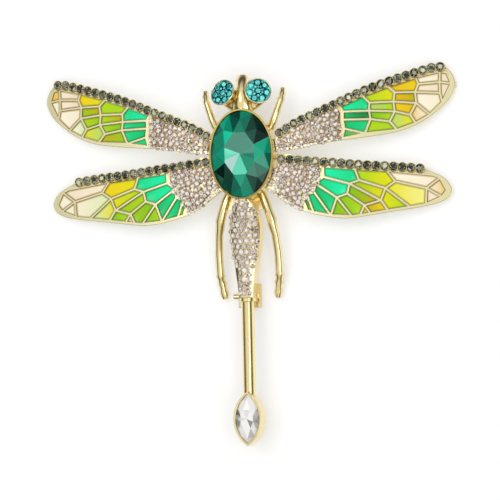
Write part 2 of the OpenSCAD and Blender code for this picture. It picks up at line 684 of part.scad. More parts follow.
// Rows and single stones are measured along the slope from the thorax, as a turn round the
// rounded top and a distance
first_row = abdomen_stone_d / 2 + cup_wall;
row_step = abdomen_pitch * sin(60);
last_row = first_row + (len(abdomen_counts) - 1) * row_step;
abdomen_seats = [
    for (i = [0 : len(abdomen_counts) - 1], k = [0 : abdomen_counts[i] - 1])
        [(k - (abdomen_counts[i] - 1) / 2) * abdomen_pitch / abdomen_r * 180 / PI, first_row + i * row_step]
];
last_seats = [
    for (i = [0 : last_stones - 1])
        [0, last_row + (abdomen_pitch + last_pitch) / 2 + i * last_pitch]
];
function abdomen_facing(turn) = [sin(turn), 0, cos(turn)];
function abdomen_seat(s) =
    [[0, -s[1], -abdomen_r] + abdomen_facing(s[0]) * (abdomen_r - edge_sink / 2), abdomen_facing(s[0])];
// Frame of the rounded top: its start at the thorax, sloping down to the tail
module on_abdomen() {
    translate([0, -bezel_b, abdomen_top]) rotate([abdomen_dip, 0, 0]) children();
}
module abdomen_stone_rows() {
    color("#f3e6df") on_abdomen() {
        stone_field([for (s = abdomen_seats) abdomen_seat(s)], abdomen_stone_d / 2);
        stone_field([for (s = last_seats) abdomen_seat(s)], last_stone_d / 2);
    }
}
// The seats taper like the stones, so that neighbours keep a wall between them
module abdomen_bores(seats, d) {
    bore_d = d + 2 * seat_gap;
    for (s = seats)
        translate([0, -s[1], -abdomen_r])
            rotate([0, s[0], 0])
                translate([0, 0, abdomen_r - edge_sink / 2]) {
                    cylinder(d = bore_d, h = d / 2, $fn = 32);
                    translate([0, 0, -d / 2])
                        cylinder(d1 = bore_d / 2, d2 = bore_d, h = d / 2, $fn = 32);
                }
}
module abdomen_bed() {
    difference() {
        intersection() {
            layer(back_z, abdomen_top + past) difference() {
                polygon(concat(abdomen_line, reversed([for (p = abdomen_line) [-p[0], p[1]]])));
                oval_shape(seat_gap + bezel_wall / 2);
            }
            on_abdomen()
                translate([0, abdomen_r, -abdomen_r])
                    rotate([90, 0, 0])
                        linear_extrude(height = 2 * abdomen_end) {
                            circle(r = abdomen_r, $fn = 96);
                            translate([-abdomen_r, -2 * abdomen_r])
                                square([2 * abdomen_r, 2 * abdomen_r]);
                        }
        }
        on_abdomen() {
            abdomen_bores(abdomen_seats, abdomen_stone_d);
            abdomen_bores(last_seats, last_stone_d);
        }
    }
}

// Collar at the end of the abdomen, and the tail rod on the same axis
collar_l = 0.9;
collar_d = 2 * abdomen_half(-abdomen_end) + 0.3;
rod_z = back_z + collar_d / 2 + 0.1;
navette_end = navette_drop - navette_l / 2;
module tail() {
    translate([0, -abdomen_end + solder, rod_z]) rotate([90, 0, 0]) {
        cylinder(d = collar_d, h = collar_l, $fn = 64);
        cylinder(d = rod_d, h = navette_end - abdomen_end + 2 * solder, $fn = 64);
    }
}
// Settings of the two large stones: a closed back, the seat of the girdle, a lip over it and
// a ledge under it
module navette_bezel() {
    translate([0, -navette_drop, 0]) difference() {
        layer(back_z, navette_girdle_z + bezel_lip) navette_shape(seat_gap + bezel_wall);
        layer(navette_girdle_z - girdle_t - ledge_drop, navette_girdle_z + bezel_lip / 2)
            navette_shape(seat_gap);
        layer(navette_girdle_z, navette_girdle_z + bezel_lip + past) navette_shape(-lip_hold);
        layer(back_z + back_t, navette_girdle_z) navette_shape(-ledge_hold);
    }
}
module oval_bezel() {
    difference() {
        layer(back_z, oval_girdle_z + bezel_lip) oval_shape(seat_gap + bezel_wall);
        layer(oval_girdle_z - girdle_t - ledge_drop, oval_girdle_z + bezel_lip / 2) oval_shape(seat_gap);
        layer(oval_girdle_z, oval_girdle_z + bezel_lip + past) oval_shape(-lip_hold);
        layer(back_z + back_t, oval_girdle_z) oval_shape(-ledge_hold);
    }
}

// Height of the underside of a wing at a distance from the middle line
function wing_under(x) = wing_top - arch_r + sqrt(pow(arch_r - wing_t, 2) - x * x);
// Tabs that the four roots are riveted to, and the short stub that shows between the wings
root_share = 0.29;
root_top = wing_under(root_share * upper_reach) - root_gap;
stub_x = 0.23 * lower_reach;
stub_w = 0.9;
// Share of the width of the oval stone where the tabs start, under its bezel
tab_start = 0.45;
module root_tab(w) {
    inner = tab_start * oval_w / reach_of(w);
    polygon([
        vein_point(w, root_share, 0.12), vein_point(w, root_share, 0.88),
        vein_point(w, inner, 0.88), vein_point(w, inner, 0.12)
    ]);
}
module root_tabs() {
    layer(root_top - back_t, root_top) difference() {
        union() {
            root_tab(wing(1));
            root_tab(wing(-1));
            translate([oval_w / 2, -stub_w])
                square([stub_x - oval_w / 2, stub_w]);
        }
        oval_shape(seat_gap + bezel_wall / 2);
    }
    for (w = [wing(1), wing(-1)], p = rivets(w))
        translate([p[0], p[1], root_top - back_t / 2])
            cylinder(d = rivet_d, h = wing_top - root_top + bed_rise / 2, $fn = 32);
}

neck_y = bezel_b - solder;
cheek_z = eye_z - 0.7 * head_t;
module head() {
    loft([for (r = cheek_rows) [[0, r[0] * eye_y, cheek_z], r[1] * head_w, r[2] * head_w]], 24);
    loft([for (r = head_rows) [
        [0, neck_y + r[0] * (nose_y - neck_y), eye_z - head_t / 2 + r[3] * head_t],
        r[1] * head_w, r[2] * head_t
    ]], 12);
}
function front_leg_section(r) = [
    [r[0] * front_foot_x, r[1] * front_foot_y, r[2] * wing_top], r[3] * leg_w, r[3] * leg_w
];
function thigh_section(r) = [
    [r[0] * hind_knee_x, -r[1] * hind_knee_y, r[2] * wing_top], r[3] * leg_w, r[3] * leg_w
];
function shin_section(r) = [
    [hind_foot_x + r[0] * shin_swing, -hind_knee_y - r[1] * (hind_foot_y - hind_knee_y), r[2] * wing_top],
    r[3] * leg_w, r[3] * leg_w
];
module legs() {
    loft([for (r = front_leg_rows) front_leg_section(r)], 8);
    loft(concat([for (r = hind_thigh_rows) thigh_section(r)], [for (r = hind_shin_rows) shin_section(r)]), 8);
}

// Heights of the two faces of the web, shares of wing_top
web_low = 0.7;
web_high = 0.9;
module thorax_underside() {
    layer(web_low * wing_top, web_high * wing_top) difference() {
        polygon([for (p = thorax_web) [p[0] * hind_knee_x, -p[1] * hind_knee_y]]);
        oval_shape(seat_gap + bezel_wall / 2);
    }
}

module body_frame() {
    color("#e8d38a") placed() {
        oval_bezel();
        head();
        abdomen_bed();
        tail();
        navette_bezel();
        for (side = [0, 1])
            mirror([side, 0, 0]) {
                root_tabs();
                eye_cup();
                legs();
                thorax_underside();
            }
    }
}

module upper_left_wing() { on_left() wing_frame(wing(1), upper_veins, upper_cells, upper_bed); }
module upper_right_wing() { on_right() wing_frame(wing(1), upper_veins, upper_cells, upper_bed); }
module lower_left_wing() { on_left() wing_frame(wing(-1), lower_veins, lower_cells, lower_bed); }
module lower_right_wing() { on_right() wing_frame(wing(-1), lower_veins, lower_cells, lower_bed); }

module oval_stone() {
    color("#007a50") placed()
        translate([0, 0, oval_girdle_z - girdle_t / 2])
            big_stone(oval_outline, oval_crown, oval_pavilion, girdle_t);
}
module navette_stone() {
    color("#f2f2f5") placed()
        translate([0, -navette_drop, navette_girdle_z - girdle_t / 2])
            big_stone(navette_outline, navette_crown, navette_pavilion, girdle_t);
}
module left_eye_stones() { on_left() eye_stones(); }
module right_eye_stones() { on_right() eye_stones(); }
module abdomen_stones() { placed() abdomen_stone_rows(); }

module upper_left_edge_stones() { on_left() wing_edge_stones(wing(1)); }
module upper_right_edge_stones() { on_right() wing_edge_stones(wing(1)); }
module lower_left_edge_stones() { on_left() wing_edge_stones(wing(-1)); }
module lower_right_edge_stones() { on_right() wing_edge_stones(wing(-1)); }

teal = "#12c98c";
green = "#9ccc14";
yellow = "#e8cc18";
clear = "#f7ead8";
module upper_enamel(tint, shade) { wing_enamel(wing(1), upper_veins, upper_cells, tint, shade); }
module lower_enamel(tint, shade) { wing_enamel(wing(-1), lower_veins, lower_cells, tint, shade); }
module upper_left_teal_enamel() { on_left() upper_enamel("teal", teal); }
module upper_left_green_enamel() { on_left() upper_enamel("green", green); }
module upper_left_yellow_enamel() { on_left() upper_enamel("yellow", yellow); }
module upper_left_clear_enamel() { on_left() upper_enamel("clear", clear); }
module upper_right_teal_enamel() { on_right() upper_enamel("teal", teal); }
module upper_right_green_enamel() { on_right() upper_enamel("green", green); }
module upper_right_yellow_enamel() { on_right() upper_enamel("yellow", yellow); }
module upper_right_clear_enamel() { on_right() upper_enamel("clear", clear); }
module lower_left_teal_enamel() { on_left() lower_enamel("teal", teal); }
module lower_left_green_enamel() { on_left() lower_enamel("green", green); }
module lower_left_yellow_enamel() { on_left() lower_enamel("yellow", yellow); }
module lower_left_clear_enamel() { on_left() lower_enamel("clear", clear); }
module lower_right_teal_enamel() { on_right() lower_enamel("teal", teal); }
module lower_right_green_enamel() { on_right() lower_enamel("green", green); }
module lower_right_yellow_enamel() { on_right() lower_enamel("yellow", yellow); }
module lower_right_clear_enamel() { on_right() lower_enamel("clear", clear); }

// Closed pin behind the body: hinge block, stem and catch with its lever, as one piece
module brooch_pin() {
    pin_z = pin_clear + pin_d / 2 + pin_lift;
    block_top = back_z - root_gap;
    color("#d9c27a") placed() {
        translate([-hinge_w / 2, hinge_y - hinge_l / 2, pin_clear])
            cube([hinge_w, hinge_l, block_top - pin_clear]);
        translate([0, hinge_y, pin_z])
            rotate([90, 0, 0])
                cylinder(d = pin_d, h = hinge_y + catch_y + catch_l / 2 + solder, $fn = 48);
        intersection() {
            translate([-catch_w / 2, -catch_y - catch_l / 2, pin_clear])
                cube([catch_w, catch_l, block_top - pin_clear]);
            translate([0, -catch_y, pin_clear + catch_w / 2])
                rotate([90, 0, 0])
                    cylinder(d = catch_w, h = catch_l, center = true, $fn = 64);
        }
        translate([0, -catch_y, pin_clear + lever_d / 2])
            rotate([0, -90, 0])
                cylinder(d = lever_d, h = lever_reach, $fn = 32);
    }
}

body_frame();
upper_left_wing();
upper_right_wing();
lower_left_wing();
lower_right_wing();
oval_stone();
navette_stone();
left_eye_stones();
right_eye_stones();
abdomen_stones();
upper_left_edge_stones();
upper_right_edge_stones();
lower_left_edge_stones();
lower_right_edge_stones();
upper_left_teal_enamel();
upper_left_green_enamel();
upper_left_yellow_enamel();
upper_left_clear_enamel();
upper_right_teal_enamel();
upper_right_green_enamel();
upper_right_yellow_enamel();
upper_right_clear_enamel();
lower_left_teal_enamel();
lower_left_green_enamel();
lower_left_yellow_enamel();
lower_left_clear_enamel();
lower_right_teal_enamel();
lower_right_green_enamel();
lower_right_yellow_enamel();
lower_right_clear_enamel();
brooch_pin();
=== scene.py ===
import math
import random

import bmesh
import bpy
from mathutils import Matrix, Vector
from mathutils.bvhtree import BVHTree


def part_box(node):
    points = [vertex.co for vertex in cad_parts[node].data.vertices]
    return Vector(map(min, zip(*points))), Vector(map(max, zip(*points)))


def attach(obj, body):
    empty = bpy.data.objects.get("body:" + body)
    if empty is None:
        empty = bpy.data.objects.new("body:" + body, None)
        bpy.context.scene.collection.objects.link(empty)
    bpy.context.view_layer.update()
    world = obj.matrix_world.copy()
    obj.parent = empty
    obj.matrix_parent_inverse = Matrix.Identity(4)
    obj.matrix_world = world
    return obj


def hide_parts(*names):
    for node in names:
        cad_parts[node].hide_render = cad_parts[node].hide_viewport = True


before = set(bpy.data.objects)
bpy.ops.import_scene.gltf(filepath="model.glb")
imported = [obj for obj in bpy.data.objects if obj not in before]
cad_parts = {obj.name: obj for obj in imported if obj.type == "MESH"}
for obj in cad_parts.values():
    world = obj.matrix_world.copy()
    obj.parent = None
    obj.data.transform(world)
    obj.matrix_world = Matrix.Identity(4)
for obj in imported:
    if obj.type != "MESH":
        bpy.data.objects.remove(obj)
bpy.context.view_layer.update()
mm = 0.001
up = Vector((0, 0, 1))


def tone(red, green, blue):  # a colour as a paint chart gives it, 0 to 255, made linear
    linear = [math.pow((c / 255 + 0.055) / 1.055, 2.4) if c > 10 else c / 3295 for c in (red, green, blue)]
    return (*linear, 1)


def mergedCopy(nodeName):  # a CAD node's triangles joined up, so that edges and loose parts can be found
    bm = bmesh.new()
    bm.from_mesh(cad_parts[nodeName].data)
    bmesh.ops.remove_doubles(bm, verts=bm.verts, dist=1e-7)
    bmesh.ops.dissolve_degenerate(bm, dist=1e-7, edges=bm.edges)
    return bm


facetFlat, wallFlat = 0.5, 0.6  # degrees: triangles that differ by less are one facet, or one wall


def joinFlats(bm, degrees):
    bmesh.ops.dissolve_limit(bm, angle_limit=math.radians(degrees), verts=bm.verts, edges=bm.edges)


def looseParts(bm):  # lists of vertices, one for each separate solid
    seen, parts = set(), []
    for start in bm.verts:
        if start in seen:
            continue
        seen.add(start)
        part, waiting = [], [start]
        while waiting:
            vert = waiting.pop()
            part.append(vert)
            for edge in vert.link_edges:
                other = edge.other_vert(vert)
                if other not in seen:
                    seen.add(other)
                    waiting.append(other)
        parts.append(part)
    return parts


def softenShading(bm, degrees):  # smooth faces, sharp only where two of them meet at more than this
    for face in bm.faces:
        face.smooth = True
    for edge in bm.edges:
        if edge.is_manifold and edge.calc_face_angle(0) > math.radians(degrees):
            edge.smooth = False


def paintFace(face, layer, value):  # the same painted light at every corner, so that a facet stands out from the next
    for corner in face.loops:
        corner[layer] = (value, value, value, 1)


def addPiece(bm, name, materials, stands=()):
    mesh = bpy.data.meshes.new(name)
    bm.to_mesh(mesh)
    bm.free()
    piece = bpy.data.objects.new(name, mesh)
    bpy.context.scene.collection.objects.link(piece)
    for material in materials:
        mesh.materials.append(material)
    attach(piece, "root")
    if stands:
        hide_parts(*stands)
    return piece


def newGroup(name, inputs, outputs):
    group = bpy.data.node_groups.new(name, "ShaderNodeTree")
    for socketName, kind, value in inputs:
        socket = group.interface.new_socket(socketName, in_out="INPUT", socket_type=kind)
        socket.default_value = value
    for socketName, kind in outputs:
        group.interface.new_socket(socketName, in_out="OUTPUT", socket_type=kind)
    return group, group.nodes.new("NodeGroupInput"), group.nodes.new("NodeGroupOutput")


def addNode(tree, kind, settings=(), values=()):
    node = tree.nodes.new(kind)
    for key, value in dict(settings).items():
        setattr(node, key, value)
    for key, value in dict(values).items():
        node.inputs[key].default_value = value
    return node


def makeWearAndShade():  # polish on raised edges, tarnish and painted shade in hollows, and fine scratches of worn plating
    group, given, made = newGroup(
        "platingWearAndShade",
        [("Polished", "NodeSocketColor", (1, 1, 1, 1)), ("Tarnished", "NodeSocketColor", (0, 0, 0, 1)),
         ("Grain", "NodeSocketFloat", 900.0), ("Tarnish", "NodeSocketFloat", 0.5)],
        [("Color", "NodeSocketColor"), ("Roughness", "NodeSocketFloat"), ("Height", "NodeSocketFloat")])
    link = group.links.new
    place = addNode(group, "ShaderNodeTexCoord")
    hollow = addNode(group, "ShaderNodeNewGeometry")
    edgeRamp = addNode(group, "ShaderNodeMapRange",
                       values={"From Min": 0.40, "From Max": 0.50, "To Min": 1.0, "To Max": 0.0})
    cloud = addNode(group, "ShaderNodeTexNoise", values={"Detail": 3.0, "Roughness": 0.6, "Scale": 350.0})
    grain = addNode(group, "ShaderNodeTexNoise", values={"Detail": 2.0, "Roughness": 0.5})
    mixed = addNode(group, "ShaderNodeMath", {"operation": "MULTIPLY"})
    amount = addNode(group, "ShaderNodeMath", {"operation": "MULTIPLY", "use_clamp": True})
    cloudy = addNode(group, "ShaderNodeMapRange",
                     values={"From Min": 0.3, "From Max": 0.7, "To Min": 0.45, "To Max": 1.2})
    colour = addNode(group, "ShaderNodeMix", {"data_type": "RGBA"})
    rough = addNode(group, "ShaderNodeMapRange", values={"To Min": 0.10, "To Max": 0.24})
    link(place.outputs["Object"], cloud.inputs["Vector"])
    link(place.outputs["Object"], grain.inputs["Vector"])
    link(given.outputs["Grain"], grain.inputs["Scale"])
    # the hollows that pointiness finds are darkened: tarnish, and painted shade
    link(hollow.outputs["Pointiness"], edgeRamp.inputs["Value"])
    link(cloud.outputs["Fac"], cloudy.inputs["Value"])
    link(edgeRamp.outputs["Result"], mixed.inputs[0])
    link(cloudy.outputs["Result"], mixed.inputs[1])
    link(mixed.outputs[0], amount.inputs[0])
    link(given.outputs["Tarnish"], amount.inputs[1])
    link(amount.outputs[0], colour.inputs["Factor"])
    link(given.outputs["Polished"], colour.inputs["A"])
    link(given.outputs["Tarnished"], colour.inputs["B"])
    link(cloud.outputs["Fac"], rough.inputs["Value"])
    link(colour.outputs["Result"], made.inputs["Color"])
    link(rough.outputs["Result"], made.inputs["Roughness"])
    link(grain.outputs["Fac"], made.inputs["Height"])
    return group


fullFlash = 1.5  # a facet's painted light goes from dark to light over shades of 0 to 1, and then to a painted flash at this one


def makeStoneTone():
    group, given, made = newGroup(
        "stoneTone",
        [("Dark", "NodeSocketColor", (0, 0, 0, 1)), ("Light", "NodeSocketColor", (1, 1, 1, 1)),
         ("Flash", "NodeSocketColor", (1, 1, 1, 1))],
        [("Color", "NodeSocketColor")])
    link = group.links.new
    own = addNode(group, "ShaderNodeAttribute", {"attribute_name": "stoneShade"})
    colour = addNode(group, "ShaderNodeMix", {"data_type": "RGBA"})
    past = addNode(group, "ShaderNodeMapRange", values={"From Min": 1.0, "From Max": fullFlash})
    flash = addNode(group, "ShaderNodeMix", {"data_type": "RGBA"})
    link(own.outputs["Fac"], colour.inputs["Factor"])
    link(given.outputs["Dark"], colour.inputs["A"])
    link(given.outputs["Light"], colour.inputs["B"])
    link(own.outputs["Fac"], past.inputs["Value"])
    link(past.outputs["Result"], flash.inputs["Factor"])
    link(colour.outputs["Result"], flash.inputs["A"])
    link(given.outputs["Flash"], flash.inputs["B"])
    link(flash.outputs["Result"], made.inputs["Color"])
    return group


def makeEnamelFlow():  # two glazes run into each other, deeper round the edge where they pool, and darker there with painted shade along the veins
    group, given, made = newGroup(
        "enamelFlow",
        [("Pooling", "NodeSocketFloat", 0.5), ("Pooled", "NodeSocketColor", (0.5, 0.4, 0.2, 1)),
         ("Flow", "NodeSocketFloat", 500.0)],
        [("Color", "NodeSocketColor"), ("Height", "NodeSocketFloat"), ("Roughness", "NodeSocketFloat")])
    link = group.links.new
    place = addNode(group, "ShaderNodeTexCoord")
    near = addNode(group, "ShaderNodeAttribute", {"attribute_name": "glazeNear"})
    far = addNode(group, "ShaderNodeAttribute", {"attribute_name": "glazeFar"})
    sweep = addNode(group, "ShaderNodeAttribute", {"attribute_name": "sweep"})
    rim = addNode(group, "ShaderNodeAttribute", {"attribute_name": "rim"})
    cloud = addNode(group, "ShaderNodeTexNoise", values={"Detail": 2.0, "Roughness": 0.5})
    drift = addNode(group, "ShaderNodeMath", {"operation": "MULTIPLY_ADD"}, {1: 0.5, 2: -0.25})
    along = addNode(group, "ShaderNodeMath", {"operation": "ADD", "use_clamp": True})
    blend = addNode(group, "ShaderNodeMix", {"data_type": "RGBA"})
    pooledAndShaded = addNode(group, "ShaderNodeMapRange", values={"To Min": 1.0, "To Max": 0.0})
    strength = addNode(group, "ShaderNodeMath", {"operation": "MULTIPLY"})
    deep = addNode(group, "ShaderNodeMix", {"data_type": "RGBA", "blend_type": "MULTIPLY"})
    rough = addNode(group, "ShaderNodeMapRange", values={"To Min": 0.05, "To Max": 0.13})
    link(place.outputs["Object"], cloud.inputs["Vector"])
    link(given.outputs["Flow"], cloud.inputs["Scale"])
    link(cloud.outputs["Fac"], drift.inputs[0])
    link(sweep.outputs["Fac"], along.inputs[0])
    link(drift.outputs[0], along.inputs[1])
    link(along.outputs[0], blend.inputs["Factor"])
    link(near.outputs["Color"], blend.inputs["A"])
    link(far.outputs["Color"], blend.inputs["B"])
    # painted shade: the colour is multiplied darker towards the edge of each panel, along the veins, as well
    # as where the glaze pools
    link(rim.outputs["Fac"], pooledAndShaded.inputs["Value"])
    link(pooledAndShaded.outputs["Result"], strength.inputs[0])
    link(given.outputs["Pooling"], strength.inputs[1])
    link(strength.outputs[0], deep.inputs["Factor"])
    link(blend.outputs["Result"], deep.inputs["A"])
    link(given.outputs["Pooled"], deep.inputs["B"])
    link(cloud.outputs["Fac"], rough.inputs["Value"])
    link(deep.outputs["Result"], made.inputs["Color"])
    link(cloud.outputs["Fac"], made.inputs["Height"])
    link(rough.outputs["Result"], made.inputs["Roughness"])
    return group


wearAndShadeGroup, toneGroup, flowGroup = makeWearAndShade(), makeStoneTone(), makeEnamelFlow()


def newMaterial(name, **values):
    material = bpy.data.materials.new(name)
    material.use_nodes = True
    surface = material.node_tree.nodes["Principled BSDF"]
    for key, value in values.items():
        surface.inputs[key.replace("_", " ")].default_value = value
    return material, material.node_tree, surface


def addGroup(tree, group, **values):
    node = tree.nodes.new("ShaderNodeGroup")
    node.node_tree = group
    for key, value in values.items():
        node.inputs[key].default_value = value
    return node


def addBump(tree, surface, height, strength, distance):
    bump = addNode(tree, "ShaderNodeBump", values={"Strength": strength, "Distance": distance})
    tree.links.new(height, bump.inputs["Height"])
    tree.links.new(bump.outputs["Normal"], surface.inputs["Normal"])


def giltMaterial(name, polished, tarnishedAndShaded, tarnishAndShade, grain=900):
    material, tree, surface = newMaterial(name, Metallic=1.0)
    wearAndShade = addGroup(tree, wearAndShadeGroup, Polished=polished, Tarnished=tarnishedAndShaded, Grain=grain, Tarnish=tarnishAndShade)
    tree.links.new(wearAndShade.outputs["Color"], surface.inputs["Base Color"])
    tree.links.new(wearAndShade.outputs["Roughness"], surface.inputs["Roughness"])
    addBump(tree, surface, wearAndShade.outputs["Height"], strength=0.12, distance=0.00003)
    return material


def stoneMaterial(name, dark, light, ior, clearness, glint=(1, 1, 1, 1), flash=(1, 1, 1, 1)):
    material, tree, surface = newMaterial(name, Roughness=0.01, IOR=ior, Transmission_Weight=clearness,
                                          Specular_Tint=glint)
    shade = addGroup(tree, toneGroup, Dark=dark, Light=light, Flash=flash)
    tree.links.new(shade.outputs["Color"], surface.inputs["Base Color"])
    return material


def foilMaterial(name, dark, light, roughness):
    material, tree, surface = newMaterial(name, Roughness=roughness, Metallic=1.0)
    shade = addGroup(tree, toneGroup, Dark=dark, Light=light)
    tree.links.new(shade.outputs["Color"], surface.inputs["Base Color"])
    return material


gilt = {  # colour where it is polished, and colour in the hollows, where tarnish and painted shade darken it
    "wings": giltMaterial("paleGilt", (0.94, 0.87, 0.52, 1), (0.40, 0.24, 0.05, 1), tarnishAndShade=0.9),
    "body": giltMaterial("warmGilt", (0.95, 0.80, 0.43, 1), (0.42, 0.18, 0.02, 1), tarnishAndShade=1.0),
    "pin": giltMaterial("pinGilt", (0.86, 0.72, 0.42, 1), (0.40, 0.24, 0.08, 1), tarnishAndShade=0.8, grain=1400),
    "beads": giltMaterial("beadGilt", (0.93, 0.80, 0.48, 1), (0.52, 0.33, 0.10, 1), tarnishAndShade=0.7, grain=2500),
    # painted shade: the paved beds are coloured dark for the shade between their stones
    "bed": giltMaterial("bedShadeGilt", (0.32, 0.22, 0.12, 1), (0.10, 0.06, 0.03, 1), tarnishAndShade=0.9, grain=2500),
    # painted shade: the setting round the oval stone is coloured dark for the shade beside the stone
    "bezel": giltMaterial("shadedBezelGilt", (0.30, 0.23, 0.07, 1), (0.08, 0.05, 0.01, 1), tarnishAndShade=0.9),
    # painted shade: the eased edges of a wing are coloured dark for the shade along its veins and rim
    "contour": giltMaterial("shadedContourGilt", (0.46, 0.34, 0.12, 1), (0.20, 0.12, 0.03, 1), tarnishAndShade=0.9),
}

glass = {  # the glass and the foil at its back, each with the colours of its darkest and its lightest facet
    "emerald": [
        stoneMaterial("emeraldGlass", (0.0, 0.012, 0.009, 1), (0.015, 1.0, 0.60, 1), ior=1.6, clearness=0.4,
                      glint=(0.6, 1.0, 0.85, 1), flash=(0.66, 1.0, 0.94, 1)),
        foilMaterial("emeraldFoil", (0.0, 0.06, 0.04, 1), (0.04, 1.0, 0.66, 1), roughness=0.25)],
    "clear": [
        stoneMaterial("clearCrystal", (0.14, 0.13, 0.12, 1), (1.0, 0.98, 0.95, 1), ior=1.5, clearness=0.15),
        foilMaterial("silverFoil", (0.30, 0.30, 0.32, 1), (1.0, 1.0, 1.0, 1), roughness=0.3)],
    "turquoise": [
        stoneMaterial("turquoiseGlass", (0.0, 0.15, 0.18, 1), (0.20, 1.0, 0.93, 1), ior=1.56, clearness=0.1),
        foilMaterial("turquoiseFoil", (0.0, 0.25, 0.28, 1), (0.45, 1.0, 0.95, 1), roughness=0.3)],
    "smoky": [
        stoneMaterial("smokyGlass", (0.012, 0.016, 0.01, 1), (0.80, 0.82, 0.60, 1), ior=1.56, clearness=0.25),
        foilMaterial("smokyFoil", (0.04, 0.045, 0.035, 1), (0.95, 0.95, 0.88, 1), roughness=0.15)],
    "pale": [
        stoneMaterial("paleGlass", (0.20, 0.13, 0.09, 1), (1.0, 0.93, 0.86, 1), ior=1.56, clearness=0.15),
        foilMaterial("paleFoil", (0.45, 0.34, 0.26, 1), (1.0, 0.95, 0.90, 1), roughness=0.2)],
}
eyeGlaze = newMaterial("eyeGlaze", Base_Color=tone(0, 150, 155), Roughness=0.3)[0]
print("materials ready")


# Sizes that the solids of the wings have, in millimetres, and the smallest stone on the margin beside the bed
wing = {"top": 4.644, "archRadius": 165, "bedRise": 0.25, "bedEnd": 17.5, "marginStone": 0.17}


def wingFace(x):  # height of the face of a wing
    return (wing["top"] - wing["archRadius"] + math.sqrt(wing["archRadius"] ** 2 - (x / mm) ** 2)) * mm


girdleFrom = 0.9  # of the radius of a stone: what lies farther out belongs to its girdle


def seatsOf(nodeName):  # middle of the girdle, direction of the table and radius of each stone of a field
    bm = mergedCopy(nodeName)
    joinFlats(bm, facetFlat)
    seats = []
    for part in looseParts(bm):
        keel = max(part, key=lambda v: len(v.link_edges)).co
        middle = sum((v.co for v in part), Vector()) / len(part)
        facing = (middle - keel).normalized()
        away = [(v.co - keel) - facing * (v.co - keel).dot(facing) for v in part]
        radius = max(a.length for a in away)
        girdle = [v.co for v, a in zip(part, away) if a.length > girdleFrom * radius]
        seats.append((sum(girdle, Vector()) / len(girdle), facing, radius))
    bm.free()
    return sorted(seats, key=lambda s: (round(s[0].x, 6), s[0].y))


def middleSeat(seats):
    return min(seats, key=lambda s: sum((s[0] - o[0]).length for o in seats))


eyes = [middleSeat(seatsOf(side + "_eye_stones")) for side in ("left", "right")]
eyeCup = {"lip": 0.12, "radius": 2.3}  # its lip above the girdle of its stones
ovalLip = 6.35 * mm  # height of the setting round the oval stone
lining = {"level": 0.9, "eyeLevel": 0.97, "bedWithin": 0.08, "lipWithin": 0.05}  # how a lined face is known

# Metals of one piece, in this order: its own finish, the paved beds, coloured dark for painted shade between
# their stones, the floors of the eyes, the setting of the oval stone, coloured dark for painted shade beside
# it, and the eased edges of a wing, coloured dark for painted shade along its veins and rim
ownFinish, shadedPavedBed, eyeFloor, shadedOvalSetting, shadedEasedEdge = range(5)


def liningOf(nodeName, face):
    middle = face.calc_center_median()
    level = face.normal.z > lining["level"]
    if nodeName.endswith("wing"):
        rise = (middle.z - wingFace(middle.x)) / mm
        # a level face at the height of the bed takes the dark gilt of painted shade
        return shadedPavedBed if level and abs(rise - wing["bedRise"]) < lining["bedWithin"] else ownFinish
    if nodeName == "body_frame":
        for centre, facing, _ in eyes:
            away = (middle - centre) / mm
            inside = away.length < eyeCup["radius"] and away.dot(facing) > 0.5 * eyeCup["lip"]
            if inside and face.normal.dot(facing) > lining["eyeLevel"]:
                return eyeFloor
        # the level top of the setting round the oval stone takes the dark gilt of painted shade
        if level and abs(middle.z - ovalLip) < lining["lipWithin"] * mm:
            return shadedOvalSetting
    return ownFinish


# Gilt metal: the CAD solids with their edges eased. Node, finish, slot, width of the easing
metal = {
    "bodyMetal": ["body_frame", "body", "gilt_metal", 0.07],
    "upperLeftFrame": ["upper_left_wing", "wings", "gilt_metal", 0.06],
    "upperRightFrame": ["upper_right_wing", "wings", "gilt_metal", 0.06],
    "lowerLeftFrame": ["lower_left_wing", "wings", "gilt_metal", 0.06],
    "lowerRightFrame": ["lower_right_wing", "wings", "gilt_metal", 0.06],
    "pinMetal": ["brooch_pin", "pin", "pin_metal", 0.1],
}
easing = {"sharp": 50, "segments": 2}  # edges sharper than this, in degrees, are eased and stay crisp


def easedMetal(name, nodeName, finish, ease):
    bm = mergedCopy(nodeName)
    joinFlats(bm, wallFlat)
    softenShading(bm, easing["sharp"])
    for face in bm.faces:
        face.material_index = liningOf(nodeName, face)
    metals = [gilt[finish], gilt["bed"], eyeGlaze, gilt["bezel"], gilt["contour"]]
    piece = addPiece(bm, name, metals, [nodeName])
    bevel = piece.modifiers.new("easedEdges", "BEVEL")
    bevel.width = ease * mm
    bevel.segments = easing["segments"]
    bevel.limit_method = "ANGLE"
    bevel.angle_limit = math.radians(easing["sharp"])
    bevel.use_clamp_overlap = False
    bevel.harden_normals = True
    # the eased edges of a wing take the dark gilt of painted shade
    if nodeName.endswith("wing"):
        bevel.material = shadedEasedEdge


for name, (nodeName, finish, slotName, ease) in metal.items():
    easedMetal(name, nodeName, finish, ease)
print("metal ready")


cuts = {  # shares of the radius; facets whose normal points down past foilFrom are foiled
    "rich": {"sides": 8, "table": 0.56, "tableHeight": 0.36, "star": 0.80, "starHeight": 0.19,
             "girdle": 0.05, "keel": 0.8, "foilFrom": -0.2},
    "small": {"sides": 6, "table": 0.52, "tableHeight": 0.34, "star": 0, "starHeight": 0,
              "girdle": 0.03, "keel": 0.36, "foilFrom": -0.2},
}


